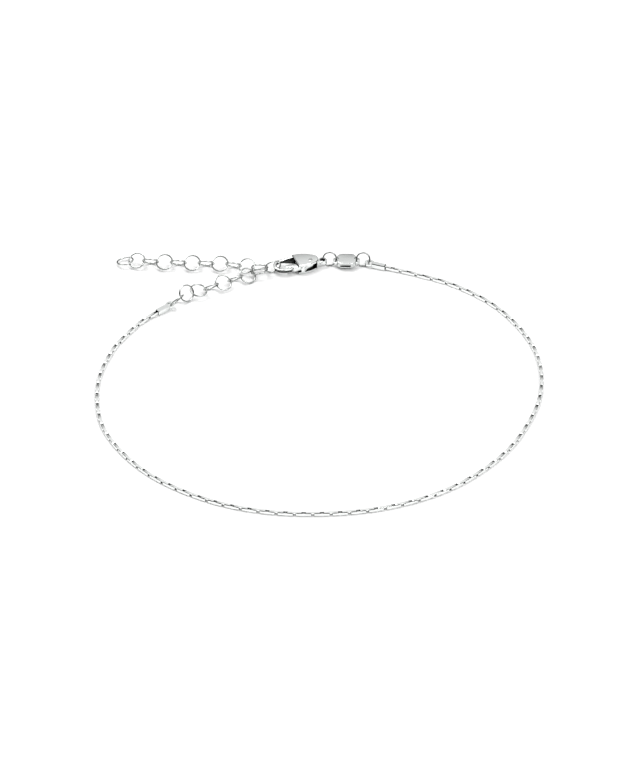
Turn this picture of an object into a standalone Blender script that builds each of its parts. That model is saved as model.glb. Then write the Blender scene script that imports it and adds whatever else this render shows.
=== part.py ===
"""Chain anklet: a fine box chain with a lobster clasp, a tag plate and a ring extender.

The anklet lies closed on a flat surface, +Z up, with the clasp at +Y. Sizes are in metres.
Every sub-part is one object, and the objects are children of one empty at the base centre.
"""

import bmesh
import bpy
from math import atan2, ceil, cos, degrees, hypot, pi, radians, sin
from mathutils import Matrix, Vector

MM = 0.001

# Fine box chain: loops of flat strip, every second one turned a quarter turn
CHAIN_SECTION = 0.68 * MM
CHAIN_PITCH = 1.56 * MM
CHAIN_LINK_LENGTH = 2.15 * MM
CHAIN_STRIP = 0.10 * MM
CHAIN_END_CHAMFER = 0.20 * MM
CHAIN_STRIP_PLAY = 0.02 * MM
CHAIN_BITE = 0.03 * MM

# Round links of the extender
LINK_OUTER = 3.35 * MM
LINK_WIRE = 0.31 * MM
TAIL_SLACK = 0.15 * MM
TAIL_END_SLACK = 0.25 * MM
LINK_SIDES = 12
WIRE_SIDES = 5

# Jump rings at both ends of the tag plate
JUMP_OUTER = 2.8 * MM
JUMP_WIRE = 0.3 * MM
JUMP_SIDES = 16

# Folded end caps with an eye
CAP_LENGTH = 2.6 * MM
CAP_WIDTH = 1.12 * MM
CAP_HEIGHT = 1.0 * MM
CAP_BEVEL = 0.12 * MM
CAP_BORE_DEPTH = 1.7 * MM
CAP_BORE_PLAY = 0.07 * MM
CHAIN_END_PLAY = 0.12 * MM
CAP_EYE_OUTER = 1.8 * MM
CAP_EYE_HOLE = 1.06 * MM
CAP_EYE_THICK = 0.35 * MM
CAP_EYE_HEIGHT = 0.741 * MM
CAP_EYE_OVERLAP = 0.3 * MM

# Tag plate: a thick middle with a slot in its near side, and a thin lug with a hole at each end
PLATE_LENGTH = 3.6 * MM
PLATE_DEPTH = 3.5 * MM
PLATE_THICK = 1.0 * MM
PLATE_BEVEL = 0.16 * MM
PLATE_CORNER = 1.15 * MM
PLATE_SLOT_LENGTH = 1.95 * MM
PLATE_SLOT_HEIGHT = 0.52 * MM
PLATE_SLOT_DEPTH = 0.3 * MM
PLATE_SLOT_LEFT = 0.2 * MM
LUG_REACH = 0.68 * MM
LUG_DEPTH = 1.7 * MM
LUG_THICK = 0.32 * MM
LUG_HOLE_LENGTH = 0.84 * MM
LUG_HOLE_DEPTH = 1.2 * MM
LUG_HOLE_PLACE = 0.05 * MM

# Lobster clasp: hook and spine, two cheeks, an eye
HOOK_OUTER = 1.95 * MM
HOOK_WIDTH = 0.62 * MM
HOOK_THICK = 0.7 * MM
HOOK_TIP_REACH = 1.3 * MM
CLASP_THICK = 2.0 * MM
CLASP_EYE_REACH = 7.4 * MM
CLASP_EYE_OUTER = 1.8 * MM
CLASP_EYE_HOLE = 1.1 * MM
CLASP_EYE_THICK = 0.6 * MM
CLASP_BEVEL = 0.22 * MM
HOOK_BEVEL = 0.14 * MM
CHEEK_WALL = 0.45 * MM
CHEEK_LENGTH = 4.6 * MM
CHEEK_WIDTH = 4.0 * MM
CHEEK_START = 1.95 * MM
CHEEK_SLANT = 0.5 * MM
SLOT_DEPTH = 2.8 * MM
SLOT_END_WALL = 0.4 * MM

# Lever, with its pivot pin
LEVER_PLAY = 0.07 * MM
LEVER_WIDTH = 0.8 * MM
LEVER_SHOULDER = 0.42 * MM
LEVER_BEVEL = 0.10 * MM
LEVER_NUB_REACH = 0.55 * MM
LEVER_NUB_WIDTH = 0.9 * MM
PIVOT_BACK = 0.95 * MM
PIVOT_BOSS = 0.6 * MM
PIN_DIAMETER = 0.6 * MM
PIN_PLAY = 0.04 * MM
PIN_INSET = 0.03 * MM

ARC_SIDES = 24
ROUND_SIDES = 16
FINGER_GAP = 0.04 * MM

# Where the anklet lies, as chosen points in millimetres: the chain from the right cap, round
# the front, to the left cap. Its height follows from the caps and the chain's own section.
CHAIN_ROUTE_MM = [
    (14.6, 36.1), (18.2, 34.6), (24.5, 31.3), (31.0, 25.5), (35.7, 18.2),
    (38.6, 10.4), (39.5, 2.2), (38.7, -5.7), (36.3, -13.2), (32.9, -20.2), (28.1, -26.5),
    (22.3, -31.8), (15.4, -35.7), (7.9, -38.1), (0.0, -39.0), (-8.0, -38.6), (-15.8, -36.6),
    (-23.1, -32.8), (-29.5, -27.6), (-34.5, -21.1), (-38.0, -13.8), (-39.4, -5.8),
    (-39.2, 2.2), (-37.3, 10.0), (-35.4, 14.2), (-32.6, 18.9),
]

# The extender between the crossing and the left cap, link by link: x, y, z and tilt
STRAND_LINKS = [
    (-17.8, 30.7, 1.3, 33.0), (-20.0, 29.3, 1.3, -47.0), (-22.3, 28.1, 1.3, 15.0),
    (-24.45, 26.75, 1.55, 62.0), (-26.15, 24.9, 1.3, -50.0),
]

# The free tail's route in millimetres, with the tilt of each link
TAIL_ROUTE_MM = [(-16.0, 36.6), (-18.4, 37.0), (-21.0, 37.15), (-26.1, 37.4), (-31.1, 37.8),
                 (-33.7, 38.1), (-36.1, 38.7), (-38.6, 39.4)]
TAIL_TILTS = [33.0, -47.0, 33.0, -47.0, 33.0, -47.0, 33.0, -5.0]

# Links at the crossing: centre x, y, z in millimetres, then heading, slope and tilt in degrees
CROSSING_LINKS = {
    "hooked": (-8.75, 35.6, 1.55, 14.0, 14.0, -72.0),
    "strand_7": (-11.2, 34.85, 1.05, 27.0, 6.0, -20.0),
    "strand_6": (-13.35, 33.4, 1.05, 33.0, -5.0, 35.0),
    "strand_5": (-15.6, 32.1, 1.25, 30.0, -2.0, -45.0),
    "tail_9": (-11.15, 35.25, 1.7, 2.0, 0.0, -17.0),
    "tail_10": (-13.55, 36.1, 1.45, -25.0, 3.0, 32.0),
    "tail_11": (-16.0, 36.6, 1.3, -11.0, 0.0, -47.0),
}

# Centres of the clasp's hook and of the left cap's eye, with headings in degrees
HOOK_PLACE_MM = (-6.75, 36.68)
CLASP_HEADING = 13.0
LEFT_EYE_MM = (-27.35, 24.2)
LEFT_CAP_HEADING = 43.0

# What hangs on the clasp's eye, measured from it: both jump rings, written as the links are,
# then the centres of the plate and of the right cap's eye
JUMP_RINGS = {
    "jump_ring_clasp": (1.34, 0.255, 1.33, 3.0, 9.0, 72.0),
    "jump_ring_chain": (7.54, 0.155, 1.28, 2.0, 8.0, 65.0),
}
PLATE_PLACE_MM = (4.46, 0.105, 1.0)
RIGHT_EYE_MM = (8.69, -0.195)
RIGHT_CAP_HEADING = 158.0

STEEL = (0.78, 0.79, 0.78)


def clear_scene():
    """Remove everything in the open scene."""
    for obj in list(bpy.data.objects):
        bpy.data.objects.remove(obj, do_unlink=True)
    for block in list(bpy.data.meshes):
        bpy.data.meshes.remove(block)
    for collection in list(bpy.data.collections):
        bpy.data.collections.remove(collection)


def new_collection(name):
    """Make a collection in the scene."""
    collection = bpy.data.collections.new(name)
    bpy.context.scene.collection.children.link(collection)
    return collection


def metal(name, roughness):
    """Make a polished steel material."""
    mat = bpy.data.materials.new(name)
    mat.use_nodes = True
    shader = mat.node_tree.nodes["Principled BSDF"]
    shader.inputs["Base Color"].default_value = (*STEEL, 1.0)
    shader.inputs["Metallic"].default_value = 1.0
    shader.inputs["Roughness"].default_value = roughness
    mat.diffuse_color = (*STEEL, 1.0)
    return mat


def place_frame(centre, heading, slope=0.0, tilt=0.0):
    """Give the matrix of a piece whose X axis points along heading and slope, rolled by tilt."""
    return (Matrix.Translation(centre) @ Matrix.Rotation(radians(heading), 4, "Z")
            @ Matrix.Rotation(radians(-slope), 4, "Y") @ Matrix.Rotation(radians(tilt), 4, "X"))


def add_piece(name, mesh, finish, matrix, collection, root):
    """Add one sub-part to the model."""
    obj = bpy.data.objects.new(name, mesh)
    if not mesh.materials:
        mesh.materials.append(finish)
    collection.objects.link(obj)
    obj.parent = root
    obj.matrix_world = matrix
    return obj


def take_mesh(obj, name):
    """Turn an object's evaluated shape into a plain welded mesh and remove the object."""
    depsgraph = bpy.context.evaluated_depsgraph_get()
    mesh = bpy.data.meshes.new_from_object(obj.evaluated_get(depsgraph))
    mesh.name = name
    matrix = obj.matrix_world.copy()
    bpy.data.objects.remove(obj, do_unlink=True)
    mesh.transform(matrix)
    bm = bmesh.new()
    bm.from_mesh(mesh)
    bmesh.ops.remove_doubles(bm, verts=bm.verts, dist=0.0005 * MM)
    bmesh.ops.dissolve_limit(bm, angle_limit=radians(0.5), verts=bm.verts, edges=bm.edges)
    bm.to_mesh(mesh)
    bm.free()
    return mesh


def flat_solid(name, outline, low, high):
    """Make a solid of a flat outline between two heights."""
    curve = bpy.data.curves.new(name, "CURVE")
    curve.dimensions = "2D"
    curve.fill_mode = "BOTH"
    curve.extrude = (high - low) / 2
    spline = curve.splines.new("POLY")
    spline.points.add(len(outline) - 1)
    for point, (x, y) in zip(spline.points, outline):
        point.co = (x, y, 0.0, 1.0)
    spline.use_cyclic_u = True
    obj = bpy.data.objects.new(name, curve)
    obj.location = (0.0, 0.0, (low + high) / 2)
    bpy.context.scene.collection.objects.link(obj)
    bpy.context.view_layer.update()
    return take_mesh(obj, name)


def arc(centre, radius, start, end, sides=ARC_SIDES):
    """List the points of an arc, with sides counted for a whole turn."""
    steps = max(1, ceil(abs(end - start) / 360.0 * sides))
    angles = [radians(start + (end - start) * i / steps) for i in range(steps + 1)]
    return [(centre[0] + radius * cos(a), centre[1] + radius * sin(a)) for a in angles]


def box_mesh(name, size, centre=(0.0, 0.0, 0.0)):
    """Make a box of a given size."""
    mesh = bpy.data.meshes.new(name)
    bm = bmesh.new()
    bmesh.ops.create_cube(bm, size=1.0, matrix=Matrix.Translation(centre) @ Matrix.Diagonal((*size, 1.0)))
    bm.to_mesh(mesh)
    bm.free()
    return mesh


def round_mesh(name, diameter, height, centre=(0.0, 0.0, 0.0), sides=ROUND_SIDES):
    """Make an upright cylinder."""
    mesh = bpy.data.meshes.new(name)
    bm = bmesh.new()
    bmesh.ops.create_cone(bm, cap_ends=True, segments=sides, radius1=diameter / 2, radius2=diameter / 2,
                          depth=height, matrix=Matrix.Translation(centre))
    bm.to_mesh(mesh)
    bm.free()
    return mesh


def bevelled(mesh, width, angle=50.0):
    """Give a mesh with its sharp edges rounded off."""
    obj = bpy.data.objects.new(mesh.name, mesh)
    bpy.context.scene.collection.objects.link(obj)
    modifier = obj.modifiers.new("edge", "BEVEL")
    modifier.width = width
    modifier.segments = 1
    modifier.limit_method = "ANGLE"
    modifier.angle_limit = radians(angle)
    bpy.context.view_layer.update()
    return take_mesh(obj, mesh.name)


def combine(obj, mesh, operation, cutters):
    """Join a shape to an object, or cut it away, in the object's own frame."""
    other = bpy.data.objects.new(f"{obj.name}_{operation.lower()}_{len(obj.modifiers)}", mesh)
    cutters.objects.link(other)
    other.parent = obj
    other.hide_render = True
    other.display_type = "WIRE"
    modifier = obj.modifiers.new(operation.lower(), "BOOLEAN")
    modifier.operation = operation
    modifier.solver = "EXACT"
    modifier.object = other


def smooth_route(points, steps=40):
    """Give close points of a smooth curve through the chosen ones."""
    first = points[0] * 2 - points[1]
    last = points[-1] * 2 - points[-2]
    ends = [first, *points, last]
    curve = []
    for a, b, c, d in zip(ends, ends[1:], ends[2:], ends[3:]):
        for i in range(steps):
            t = i / steps
            curve.append(0.5 * (2 * b + (c - a) * t + (2 * a - 5 * b + 4 * c - d) * t * t
                                + (3 * b - a - 3 * c + d) * t ** 3))
    curve.append(points[-1].copy())
    return curve


def along(curve, pitch, count):
    """Walk a curve in straight steps of one pitch."""
    places = [curve[0].copy()]
    at = 0
    while len(places) < count:
        while at < len(curve) - 1 and (curve[at] - places[-1]).length < pitch:
            at += 1
        before, after = curve[at - 1], curve[at]
        low, high = (before - places[-1]).length, (after - places[-1]).length
        share = (pitch - low) / max(high - low, 1e-9)
        places.append(before.lerp(after, share))
    return places


def run_length(curve):
    """Measure a curve."""
    return sum((b - a).length for a, b in zip(curve, curve[1:]))


def heading_of(direction):
    """Give the heading and slope of a direction in degrees."""
    flat = hypot(direction.x, direction.y)
    return degrees(atan2(direction.y, direction.x)), degrees(atan2(direction.z, flat))


def cap_eye_offset():
    """Give the distance from a cap's middle to its eye."""
    return CAP_LENGTH / 2 + CAP_EYE_OUTER / 2 - CAP_EYE_OVERLAP


def cap_frame(eye, heading):
    """Give a cap's matrix, from the place of its eye and the heading from body to eye."""
    return place_frame(eye, heading) @ Matrix.Translation((-cap_eye_offset(), 0.0, 0.0))


def clasp_frame():
    """Give the clasp's matrix: its origin is the hook's centre, and its X axis runs to the eye."""
    return place_frame(Vector((*HOOK_PLACE_MM, 0.0)) * MM, CLASP_HEADING)


def from_clasp_eye(x, y, z=0.0):
    """Give the place that lies x, y from the clasp's eye and z above the surface, in millimetres."""
    return clasp_frame() @ Vector((CLASP_EYE_REACH, 0.0, 0.0)) + Vector((x, y, z)) * MM


def chain_curve(right_cap, left_cap):
    """Give the fine chain's centre line, which rises a little and runs straight into both caps."""
    floor = CHAIN_SECTION / 2
    inside = CAP_HEIGHT / 2
    end_x = CAP_BORE_DEPTH - CAP_LENGTH / 2 - CHAIN_LINK_LENGTH / 2 - CHAIN_END_PLAY
    mouth_x = -CAP_LENGTH / 2 - CHAIN_SECTION / 2
    points = [right_cap @ Vector((end_x, 0.0, inside)), right_cap @ Vector((mouth_x, 0.0, inside))]
    points += [Vector((x * MM, y * MM, floor)) for x, y in CHAIN_ROUTE_MM]
    for i in (2, -1):
        points[i].z = floor + (inside - floor) * 0.35
    points += [left_cap @ Vector((mouth_x, 0.0, inside)), left_cap @ Vector((end_x, 0.0, inside))]
    curve = smooth_route(points)
    for point in curve:
        point.z = max(point.z, floor)
    return curve


def strip_link(name, width, lift):
    """Make one loop of flat strip, long along X, with the loop standing in the XZ plane."""
    half, top, cut = CHAIN_LINK_LENGTH / 2, CHAIN_SECTION / 2, CHAIN_END_CHAMFER
    corners = [(half, top - cut), (half - cut, top), (cut - half, top), (-half, top - cut),
               (-half, cut - top), (cut - half, -top), (half - cut, -top), (half, cut - top)]
    mesh = bpy.data.meshes.new(name)
    bm = bmesh.new()
    ring = [bm.verts.new((x, lift - width / 2, z)) for x, z in corners]
    edges = [bm.edges.new((a, b)) for a, b in zip(ring, ring[1:] + ring[:1])]
    grown = bmesh.ops.extrude_edge_only(bm, edges=edges)["geom"]
    moved = [item for item in grown if isinstance(item, bmesh.types.BMVert)]
    bmesh.ops.translate(bm, verts=moved, vec=(0.0, width, 0.0))
    for face in bm.faces:
        outward = face.calc_center_median()
        if face.normal.dot(Vector((outward.x, 0.0, outward.z))) < 0:
            face.normal_flip()
    bm.to_mesh(mesh)
    bm.free()
    obj = bpy.data.objects.new(name, mesh)
    bpy.context.scene.collection.objects.link(obj)
    wall = obj.modifiers.new("strip", "SOLIDIFY")
    wall.thickness = CHAIN_STRIP
    wall.offset = -1.0
    wall.use_even_offset = True
    bpy.context.view_layer.update()
    return take_mesh(obj, name)


def build_fine_chain(finish, ends, parts, cutters, root):
    """Make the fine chain as one fused body: upright loops joined to the flat-lying ones."""
    curve = chain_curve(*ends)
    count = int(run_length(curve) / CHAIN_PITCH) + 1
    places = along(curve, CHAIN_PITCH, count)
    opening = CHAIN_SECTION - 2 * CHAIN_STRIP
    upright = strip_link("upright_link", opening - 2 * CHAIN_STRIP_PLAY, 0.0)
    lying_width = opening + CHAIN_BITE - CHAIN_STRIP_PLAY
    lying = strip_link("lying_link", lying_width, (CHAIN_BITE + CHAIN_STRIP_PLAY) / 2)
    sets = []
    for first, link in ((0, upright), (1, lying)):
        bm = bmesh.new()
        for i in range(first, len(places), 2):
            before = places[max(i - 1, 0)]
            after = places[min(i + 1, len(places) - 1)]
            heading, slope = heading_of(after - before)
            copy = link.copy()
            copy.transform(place_frame(places[i], heading, slope, -90.0 * first))
            bm.from_mesh(copy)
            bpy.data.meshes.remove(copy)
        mesh = bpy.data.meshes.new("fine_chain" if first == 0 else "lying_links")
        bm.to_mesh(mesh)
        bm.free()
        sets.append(mesh)
    chain = add_piece("fine_chain", sets[0], finish, Matrix.Identity(4), parts, root)
    combine(chain, sets[1], "UNION", cutters)


def ring_mesh(name, outer, wire, sides):
    """Make a closed ring of round wire in the XY plane."""
    bpy.ops.mesh.primitive_torus_add(major_segments=sides, minor_segments=WIRE_SIDES,
                                     major_radius=(outer - wire) / 2, minor_radius=wire / 2)
    obj = bpy.context.active_object
    mesh = take_mesh(obj, name)
    mesh.shade_smooth()
    return mesh


def resting_height(outer, wire, tilt):
    """Give the centre height of a tilted ring that touches the surface."""
    return (outer - wire) / 2 * abs(sin(radians(tilt))) + wire / 2


def build_extender(finish, parts, root):
    """Make the extender's links: strand from the left cap, hooked link, and free tail."""
    mesh = ring_mesh("extender_link", LINK_OUTER, LINK_WIRE, LINK_SIDES)
    placed = {}
    for key, (x, y, z, heading, slope, tilt) in CROSSING_LINKS.items():
        placed[key] = place_frame(Vector((x, y, z)) * MM, heading, slope, tilt)

    eye = Vector((*LEFT_EYE_MM, 0.0)) * MM + Vector((0.0, 0.0, CAP_EYE_HEIGHT))
    spots = [placed["strand_5"].translation] + [Vector(row[:3]) * MM for row in STRAND_LINKS] + [eye]
    for i, row in enumerate(STRAND_LINKS, start=1):
        heading, slope = heading_of(spots[i - 1] - spots[i + 1])
        placed[f"strand_{5 - i}"] = place_frame(spots[i], heading, slope, row[3])

    rest = placed["tail_11"].translation.z
    points = [Vector((x * MM, y * MM, rest)) for x, y in TAIL_ROUTE_MM]
    points[-1].z = resting_height(LINK_OUTER, LINK_WIRE, TAIL_TILTS[-1])
    points[-2].z = (points[-1].z + rest) / 2
    pitch = LINK_OUTER - 2 * LINK_WIRE - TAIL_SLACK
    last = len(TAIL_TILTS)
    places = along(smooth_route(points), pitch, last + 2)
    places[last] = places[last].lerp(places[last - 1], TAIL_END_SLACK / pitch)
    for i, tilt in enumerate(TAIL_TILTS, start=1):
        heading, slope = heading_of(places[i - 1] - places[i + 1])
        placed[f"tail_{11 + i}"] = place_frame(places[i], heading, slope, tilt)

    order = [f"strand_{i}" for i in range(8)] + ["hooked"] + [f"tail_{i}" for i in range(9, 20)]
    for number, key in enumerate(order, start=1):
        add_piece(f"extender_link_{number:02d}", mesh, finish, placed[key], parts, root)


def build_cap(name, finish, matrix, parts, cutters, root):
    """Make a folded end cap: a bored box along X with a flat eye at its +X end."""
    block = box_mesh(name, (CAP_LENGTH, CAP_WIDTH, CAP_HEIGHT), (0.0, 0.0, CAP_HEIGHT / 2))
    cap = add_piece(name, bevelled(block, CAP_BEVEL), finish, matrix, parts, root)
    centre = (cap_eye_offset(), 0.0, CAP_EYE_HEIGHT)
    eye = round_mesh(f"{name}_eye", CAP_EYE_OUTER, CAP_EYE_THICK, centre)
    combine(cap, eye, "UNION", cutters)
    hole = round_mesh(f"{name}_eye_hole", CAP_EYE_HOLE, CAP_EYE_THICK * 2, centre)
    combine(cap, hole, "DIFFERENCE", cutters)
    bore = CHAIN_SECTION + 2 * CAP_BORE_PLAY
    bore_centre = (CAP_BORE_DEPTH / 2 - CAP_LENGTH / 2 - CAP_BEVEL, 0.0, CAP_HEIGHT / 2)
    size = (CAP_BORE_DEPTH + 2 * CAP_BEVEL, bore, bore)
    combine(cap, box_mesh(f"{name}_bore", size, bore_centre), "DIFFERENCE", cutters)


def build_jump_rings(finish, parts, root):
    """Make both jump rings."""
    mesh = ring_mesh("jump_ring", JUMP_OUTER, JUMP_WIRE, JUMP_SIDES)
    for name, (x, y, z, heading, slope, tilt) in JUMP_RINGS.items():
        matrix = place_frame(from_clasp_eye(x, y, z), heading, slope, tilt)
        add_piece(name, mesh, finish, matrix, parts, root)


def rounded_outline(length, depth, corner):
    """Give the outline of a rectangle with rounded corners."""
    x, y = length / 2 - corner, depth / 2 - corner
    spots = [((x, y), 0), ((-x, y), 90), ((-x, -y), 180), ((x, -y), 270)]
    return [point for spot, start in spots for point in arc(spot, corner, start, start + 90, 12)]


def build_plate(finish, parts, cutters, root):
    """Make the bare tag plate: a thick slotted middle, and a thin lug with an oval hole at each end."""
    outline = rounded_outline(PLATE_LENGTH, PLATE_DEPTH, PLATE_CORNER)
    body = bevelled(flat_solid("tag_plate", outline, -PLATE_THICK / 2, PLATE_THICK / 2), PLATE_BEVEL)
    matrix = place_frame(from_clasp_eye(*PLATE_PLACE_MM), 0.0)
    plate = add_piece("tag_plate", body, finish, matrix, parts, root)
    slot = box_mesh("plate_slot", (PLATE_SLOT_LENGTH, PLATE_SLOT_DEPTH * 2, PLATE_SLOT_HEIGHT),
                    (-PLATE_SLOT_LEFT, -PLATE_DEPTH / 2, 0.0))
    combine(plate, slot, "DIFFERENCE", cutters)
    lug_outline = rounded_outline(PLATE_LENGTH + 2 * LUG_REACH, LUG_DEPTH, LUG_DEPTH * 0.3)
    combine(plate, flat_solid("plate_lugs", lug_outline, -LUG_THICK / 2, LUG_THICK / 2), "UNION", cutters)
    for sign in (-1, 1):
        hole = round_mesh("lug_hole", LUG_HOLE_LENGTH, PLATE_THICK * 2)
        hole.transform(Matrix.Diagonal((1.0, LUG_HOLE_DEPTH / LUG_HOLE_LENGTH, 1.0, 1.0)))
        hole.transform(Matrix.Translation((sign * (PLATE_LENGTH / 2 + LUG_HOLE_PLACE), 0.0, 0.0)))
        combine(plate, hole, "DIFFERENCE", cutters)


def clasp_outlines():
    """Give the flat outlines of the clasp, with the hook's centre at the origin."""
    outer, inner = HOOK_OUTER, HOOK_OUTER - HOOK_WIDTH
    tip = HOOK_TIP_REACH
    nose = HOOK_WIDTH * 0.28
    spine_end = CHEEK_START + CHEEK_LENGTH * 0.6
    hook = [(spine_end, inner), (spine_end, outer)]
    hook += arc((0.0, 0.0), outer, 90, 270)
    hook += [(tip - nose, -outer), (tip, -outer + nose), (tip, -inner - nose), (tip - nose, -inner)]
    hook += arc((0.0, 0.0), inner, 270, 90)
    start, end, half = CHEEK_START, CHEEK_START + CHEEK_LENGTH, CHEEK_WIDTH / 2
    shape = [(0.0, 1.0), (0.34, 1.04), (0.62, 0.90), (0.84, 0.62), (1.0, 0.34),
             (1.0, -0.34), (0.84, -0.62), (0.62, -0.88), (0.36, -1.0), (CHEEK_SLANT / CHEEK_LENGTH, -1.0)]
    cheek = [(start + share * (end - start), side * half) for share, side in shape]
    cheek.reverse()
    return hook, cheek


def lever_outline():
    """Give the lever's flat outline, with the hook's centre at the origin."""
    inner = HOOK_OUTER - HOOK_WIDTH
    pivot = pivot_place()
    outer_edge = -inner + LEVER_PLAY
    inner_edge = outer_edge + LEVER_WIDTH
    shoulder = HOOK_TIP_REACH + 2 * FINGER_GAP + LEVER_PLAY
    nub_right = CHEEK_START + CHEEK_LENGTH * 0.38
    nub_left = nub_right - LEVER_NUB_WIDTH
    bottom = outer_edge - LEVER_SHOULDER
    nub_end = bottom - LEVER_NUB_REACH
    round_off = LEVER_NUB_WIDTH * 0.25
    end = HOOK_WIDTH * 0.25
    points = [(end, inner_edge - LEVER_WIDTH * 0.2), (0.1 * MM, outer_edge), (shoulder, outer_edge),
              (shoulder + 0.1 * MM, bottom), (nub_left, bottom), (nub_left + round_off * 0.6, nub_end),
              (nub_right - round_off, nub_end), (nub_right, nub_end + round_off)]
    points += arc(pivot, PIVOT_BOSS, -70, 90, 12)
    points += [(HOOK_TIP_REACH, inner_edge)]
    points.reverse()
    return points


def pivot_place():
    """Give the pivot's place in the clasp's frame."""
    return (CHEEK_START + CHEEK_LENGTH - PIVOT_BACK - PIVOT_BOSS, -HOOK_OUTER * 0.25)


def build_clasp(finish, parts, cutters, root):
    """Make the clasp's body, its lever and its pivot pin."""
    matrix = clasp_frame()
    hook, cheek = clasp_outlines()
    middle = CLASP_THICK / 2
    thin_low, thin_high = middle - HOOK_THICK / 2, middle + HOOK_THICK / 2
    body = bevelled(flat_solid("clasp_body", cheek, 0.0, CLASP_THICK), CLASP_BEVEL)
    clasp = add_piece("clasp_body", body, finish, matrix, parts, root)
    band = bevelled(flat_solid("clasp_hook", hook, thin_low, thin_high), HOOK_BEVEL)
    combine(clasp, band, "UNION", cutters)
    eye = (CLASP_EYE_REACH, 0.0, middle)
    eye_ring = round_mesh("clasp_eye", CLASP_EYE_OUTER, CLASP_EYE_THICK, eye)
    combine(clasp, eye_ring, "UNION", cutters)
    neck_start = CHEEK_START + CHEEK_LENGTH - CLASP_BEVEL * 2
    neck_end = CLASP_EYE_REACH - CLASP_EYE_HOLE * 0.4
    neck = box_mesh("clasp_neck", (neck_end - neck_start, CLASP_EYE_OUTER * 0.62, CLASP_EYE_THICK * 1.1),
                    ((neck_start + neck_end) / 2, 0.0, middle))
    combine(clasp, neck, "UNION", cutters)
    eye_hole = round_mesh("clasp_eye_hole", CLASP_EYE_HOLE, CLASP_THICK, eye)
    combine(clasp, eye_hole, "DIFFERENCE", cutters)
    slot_left, slot_right = CHEEK_START - CLASP_BEVEL, CHEEK_START + CHEEK_LENGTH - SLOT_END_WALL
    slot_top = SLOT_DEPTH - CHEEK_WIDTH / 2
    slot_low = -CHEEK_WIDTH
    slot_size = (slot_right - slot_left, slot_top - slot_low, CLASP_THICK - 2 * CHEEK_WALL)
    slot_centre = ((slot_left + slot_right) / 2, (slot_top + slot_low) / 2, middle)
    slot = box_mesh("lever_slot", slot_size, slot_centre)
    combine(clasp, slot, "DIFFERENCE", cutters)
    pivot = pivot_place()
    bore = round_mesh("pivot_bore", PIN_DIAMETER + 2 * PIN_PLAY, CLASP_THICK * 2, (*pivot, middle))
    combine(clasp, bore, "DIFFERENCE", cutters)

    lever_thick = CLASP_THICK - 2 * CHEEK_WALL - 2 * LEVER_PLAY
    low = -lever_thick / 2
    shape = [(x - pivot[0], y - pivot[1]) for x, y in lever_outline()]
    arm = bevelled(flat_solid("clasp_lever", shape, low, -low), LEVER_BEVEL)
    at_pivot = matrix @ Matrix.Translation((*pivot, middle))
    lever = add_piece("clasp_lever", arm, finish, at_pivot, parts, root)
    hole = round_mesh("lever_bore", PIN_DIAMETER + 2 * PIN_PLAY, CLASP_THICK)
    combine(lever, hole, "DIFFERENCE", cutters)

    pin = round_mesh("clasp_pin", PIN_DIAMETER, CLASP_THICK - 2 * PIN_INSET)
    add_piece("clasp_pin", pin, finish, at_pivot, parts, root)


def settle_on_base(root, parts):
    """Move the whole anklet so that the centre of its box's underside is the origin."""
    bpy.context.view_layer.update()
    depsgraph = bpy.context.evaluated_depsgraph_get()
    low, high = Vector((1.0, 1.0, 1.0)), Vector((-1.0, -1.0, -1.0))
    for obj in parts.objects:
        if obj.type != "MESH":
            continue
        shape = obj.evaluated_get(depsgraph)
        for vertex in shape.data.vertices:
            spot = shape.matrix_world @ vertex.co
            low = Vector(min(a, b) for a, b in zip(low, spot))
            high = Vector(max(a, b) for a, b in zip(high, spot))
    root.location -= Vector(((low.x + high.x) / 2, (low.y + high.y) / 2, low.z))
    bpy.context.view_layer.update()


def main():
    """Build the anklet."""
    clear_scene()
    parts = new_collection("chain_anklet")
    cutters = new_collection("cutters")
    root = bpy.data.objects.new("anklet_base", None)
    parts.objects.link(root)
    chain_steel = metal("chain_steel", 0.12)
    link_steel = metal("link_steel", 0.08)
    cast_steel = metal("cast_steel", 0.16)
    plate_steel = metal("plate_steel", 0.10)

    right_cap = cap_frame(from_clasp_eye(*RIGHT_EYE_MM), RIGHT_CAP_HEADING)
    left_cap = cap_frame(Vector((*LEFT_EYE_MM, 0.0)) * MM, LEFT_CAP_HEADING)
    build_cap("end_cap_right", link_steel, right_cap, parts, cutters, root)
    build_cap("end_cap_left", link_steel, left_cap, parts, cutters, root)
    build_fine_chain(chain_steel, (right_cap, left_cap), parts, cutters, root)
    build_extender(link_steel, parts, root)
    build_jump_rings(link_steel, parts, root)
    build_clasp(cast_steel, parts, cutters, root)
    build_plate(plate_steel, parts, cutters, root)
    settle_on_base(root, parts)


main()
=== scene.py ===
import logging
from collections.abc import Callable
from dataclasses import dataclass, field
from enum import Enum
from math import atan2, ceil, cos, degrees, hypot, pi, radians, sin

import bmesh
import bpy
from bpy.types import ID, Material, Mesh, Node, NodeSocket, Object
from mathutils import Euler, Matrix, Vector


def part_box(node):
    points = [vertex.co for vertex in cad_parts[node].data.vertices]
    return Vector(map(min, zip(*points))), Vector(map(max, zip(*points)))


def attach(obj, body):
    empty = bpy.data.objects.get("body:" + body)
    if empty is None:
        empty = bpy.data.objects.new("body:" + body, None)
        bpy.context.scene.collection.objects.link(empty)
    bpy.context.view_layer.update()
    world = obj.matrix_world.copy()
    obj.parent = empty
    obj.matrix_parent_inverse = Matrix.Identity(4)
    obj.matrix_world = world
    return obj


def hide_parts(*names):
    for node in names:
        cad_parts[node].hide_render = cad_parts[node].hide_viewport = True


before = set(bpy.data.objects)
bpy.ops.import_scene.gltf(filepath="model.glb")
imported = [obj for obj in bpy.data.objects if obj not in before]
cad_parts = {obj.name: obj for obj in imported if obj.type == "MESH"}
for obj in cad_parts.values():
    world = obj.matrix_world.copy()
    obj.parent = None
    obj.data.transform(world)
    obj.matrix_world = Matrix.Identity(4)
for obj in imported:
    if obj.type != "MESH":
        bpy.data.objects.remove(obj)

LOG = logging.getLogger("anklet")
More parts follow.
